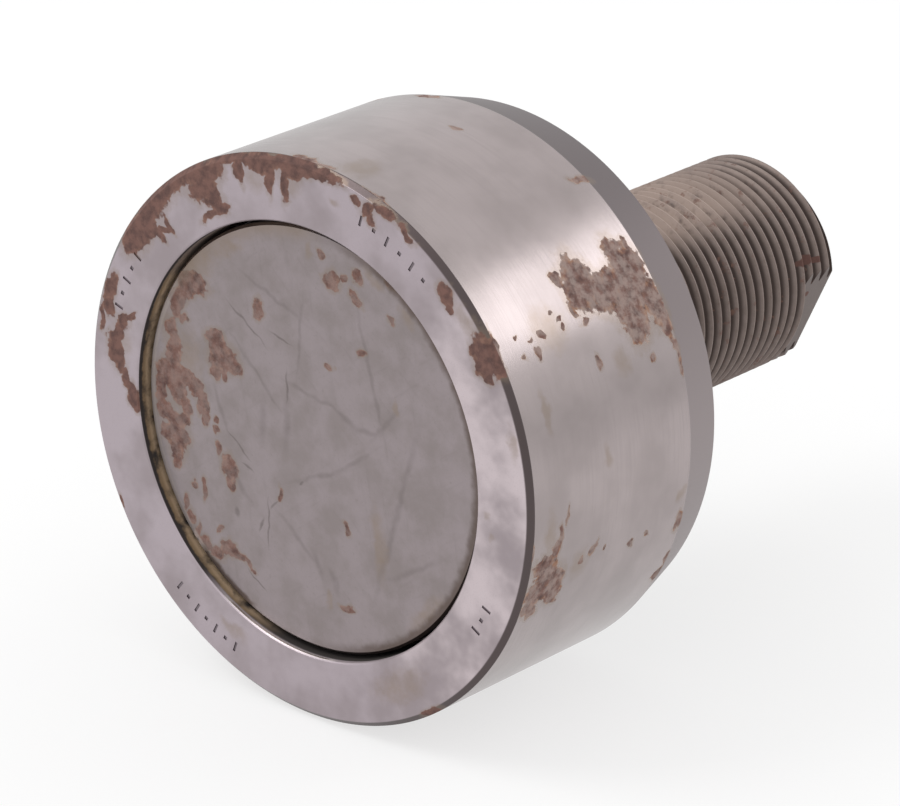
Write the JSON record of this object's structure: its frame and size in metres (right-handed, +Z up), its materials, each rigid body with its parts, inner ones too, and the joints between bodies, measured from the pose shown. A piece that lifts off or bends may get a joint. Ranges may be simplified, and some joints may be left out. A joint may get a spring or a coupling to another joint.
{
  "type": "cam follower",
  "caption": "Stud-type cam follower: a thick steel ring with a tapered back turns on caged needles round a threaded stud with a flat disc head.",
  "frame": {"origin": "on the roller's axis, in the plane where the rear flange seats on the machine", "axes": "+Y along the axis, out through the threaded stud; the roller's front face looks to -Y; +Z up as the part lies in use on its side"},
  "size_m": [0.062, 0.0754, 0.062],
  "materials": {
    "ground_ring_steel": "ground, spotted with rust",
    "stud_steel": "dull, scratched head and dark thread",
    "flange_steel": "blackened",
    "washer_polyamide": "natural, grease-stained",
    "cage_steel": "pressed sheet",
    "needle_steel": "polished",
    "nipple_zinc": "zinc plated"
  },
  "bodies": {
    "stud": {"stud": "stud_steel", "rear_flange": "flange_steel", "grease_nipple": "nipple_zinc", "thrust_washer_front": "washer_polyamide", "thrust_washer_rear": "washer_polyamide"},
    "outer_ring": {"outer_ring": "ground_ring_steel"},
    "cage": {"needle_cage": "cage_steel"},
    "needle_01": {"needle_01": "needle_steel"},
    "needle_02": {"needle_02": "needle_steel"},
    "needle_03": {"needle_03": "needle_steel"},
    "needle_04": {"needle_04": "needle_steel"},
    "needle_05": {"needle_05": "needle_steel"},
    "needle_06": {"needle_06": "needle_steel"},
    "needle_07": {"needle_07": "needle_steel"},
    "needle_08": {"needle_08": "needle_steel"},
    "needle_09": {"needle_09": "needle_steel"},
    "needle_10": {"needle_10": "needle_steel"},
    "needle_11": {"needle_11": "needle_steel"},
    "needle_12": {"needle_12": "needle_steel"},
    "needle_13": {"needle_13": "needle_steel"},
    "needle_14": {"needle_14": "needle_steel"},
    "needle_15": {"needle_15": "needle_steel"},
    "needle_16": {"needle_16": "needle_steel"},
    "needle_17": {"needle_17": "needle_steel"},
    "needle_18": {"needle_18": "needle_steel"}
  },
  "joints": [
    {"name": "ring_spin", "type": "hinge", "parent": "stud", "child": "outer_ring", "pos_m": [0, -0.01655, 0], "axis": [0, 1, 0], "continuous": true},
    {"name": "cage_orbit", "type": "hinge", "parent": "stud", "child": "cage", "pos_m": [0, -0.01655, 0], "axis": [0, 1, 0], "continuous": true},
    {"name": "needle_01_spin", "type": "hinge", "parent": "cage", "child": "needle_01", "pos_m": [0.016, -0.01655, 0], "axis": [0, 1, 0], "continuous": true},
    {"name": "needle_02_spin", "type": "hinge", "parent": "cage", "child": "needle_02", "pos_m": [0.01504, -0.01655, -0.00547], "axis": [0, 1, 0], "continuous": true},
    {"name": "needle_03_spin", "type": "hinge", "parent": "cage", "child": "needle_03", "pos_m": [0.01226, -0.01655, -0.01028], "axis": [0, 1, 0], "continuous": true},
    {"name": "needle_04_spin", "type": "hinge", "parent": "cage", "child": "needle_04", "pos_m": [0.008, -0.01655, -0.01386], "axis": [0, 1, 0], "continuous": true},
    {"name": "needle_05_spin", "type": "hinge", "parent": "cage", "child": "needle_05", "pos_m": [0.00278, -0.01655, -0.01576], "axis": [0, 1, 0], "continuous": true},
    {"name": "needle_06_spin", "type": "hinge", "parent": "cage", "child": "needle_06", "pos_m": [-0.00278, -0.01655, -0.01576], "axis": [0, 1, 0], "continuous": true},
    {"name": "needle_07_spin", "type": "hinge", "parent": "cage", "child": "needle_07", "pos_m": [-0.008, -0.01655, -0.01386], "axis": [0, 1, 0], "continuous": true},
    {"name": "needle_08_spin", "type": "hinge", "parent": "cage", "child": "needle_08", "pos_m": [-0.01226, -0.01655, -0.01028], "axis": [0, 1, 0], "continuous": true},
    {"name": "needle_09_spin", "type": "hinge", "parent": "cage", "child": "needle_09", "pos_m": [-0.01504, -0.01655, -0.00547], "axis": [0, 1, 0], "continuous": true},
    {"name": "needle_10_spin", "type": "hinge", "parent": "cage", "child": "needle_10", "pos_m": [-0.016, -0.01655, 0], "axis": [0, 1, 0], "continuous": true},
    {"name": "needle_11_spin", "type": "hinge", "parent": "cage", "child": "needle_11", "pos_m": [-0.01504, -0.01655, 0.00547], "axis": [0, 1, 0], "continuous": true},
    {"name": "needle_12_spin", "type": "hinge", "parent": "cage", "child": "needle_12", "pos_m": [-0.01226, -0.01655, 0.01028], "axis": [0, 1, 0], "continuous": true},
    {"name": "needle_13_spin", "type": "hinge", "parent": "cage", "child": "needle_13", "pos_m": [-0.008, -0.01655, 0.01386], "axis": [0, 1, 0], "continuous": true},
    {"name": "needle_14_spin", "type": "hinge", "parent": "cage", "child": "needle_14", "pos_m": [-0.00278, -0.01655, 0.01576], "axis": [0, 1, 0], "continuous": true},
    {"name": "needle_15_spin", "type": "hinge", "parent": "cage", "child": "needle_15", "pos_m": [0.00278, -0.01655, 0.01576], "axis": [0, 1, 0], "continuous": true},
    {"name": "needle_16_spin", "type": "hinge", "parent": "cage", "child": "needle_16", "pos_m": [0.008, -0.01655, 0.01386], "axis": [0, 1, 0], "continuous": true},
    {"name": "needle_17_spin", "type": "hinge", "parent": "cage", "child": "needle_17", "pos_m": [0.01226, -0.01655, 0.01028], "axis": [0, 1, 0], "continuous": true},
    {"name": "needle_18_spin", "type": "hinge", "parent": "cage", "child": "needle_18", "pos_m": [0.01504, -0.01655, 0.00547], "axis": [0, 1, 0], "continuous": true}
  ],
  "couplings": [
    {"joint": "cage_orbit", "follows": "ring_spin", "ratio": 0.55937},
    {"joint": "needle_01_spin", "follows": "ring_spin", "ratio": 4.1512},
    {"joint": "needle_02_spin", "follows": "ring_spin", "ratio": 4.1512},
    {"joint": "needle_03_spin", "follows": "ring_spin", "ratio": 4.1512},
    {"joint": "needle_04_spin", "follows": "ring_spin", "ratio": 4.1512},
    {"joint": "needle_05_spin", "follows": "ring_spin", "ratio": 4.1512},
    {"joint": "needle_06_spin", "follows": "ring_spin", "ratio": 4.1512},
    {"joint": "needle_07_spin", "follows": "ring_spin", "ratio": 4.1512},
    {"joint": "needle_08_spin", "follows": "ring_spin", "ratio": 4.1512},
    {"joint": "needle_09_spin", "follows": "ring_spin", "ratio": 4.1512},
    {"joint": "needle_10_spin", "follows": "ring_spin", "ratio": 4.1512},
    {"joint": "needle_11_spin", "follows": "ring_spin", "ratio": 4.1512},
    {"joint": "needle_12_spin", "follows": "ring_spin", "ratio": 4.1512},
    {"joint": "needle_13_spin", "follows": "ring_spin", "ratio": 4.1512},
    {"joint": "needle_14_spin", "follows": "ring_spin", "ratio": 4.1512},
    {"joint": "needle_15_spin", "follows": "ring_spin", "ratio": 4.1512},
    {"joint": "needle_16_spin", "follows": "ring_spin", "ratio": 4.1512},
    {"joint": "needle_17_spin", "follows": "ring_spin", "ratio": 4.1512},
    {"joint": "needle_18_spin", "follows": "ring_spin", "ratio": 4.1512}
  ]
}
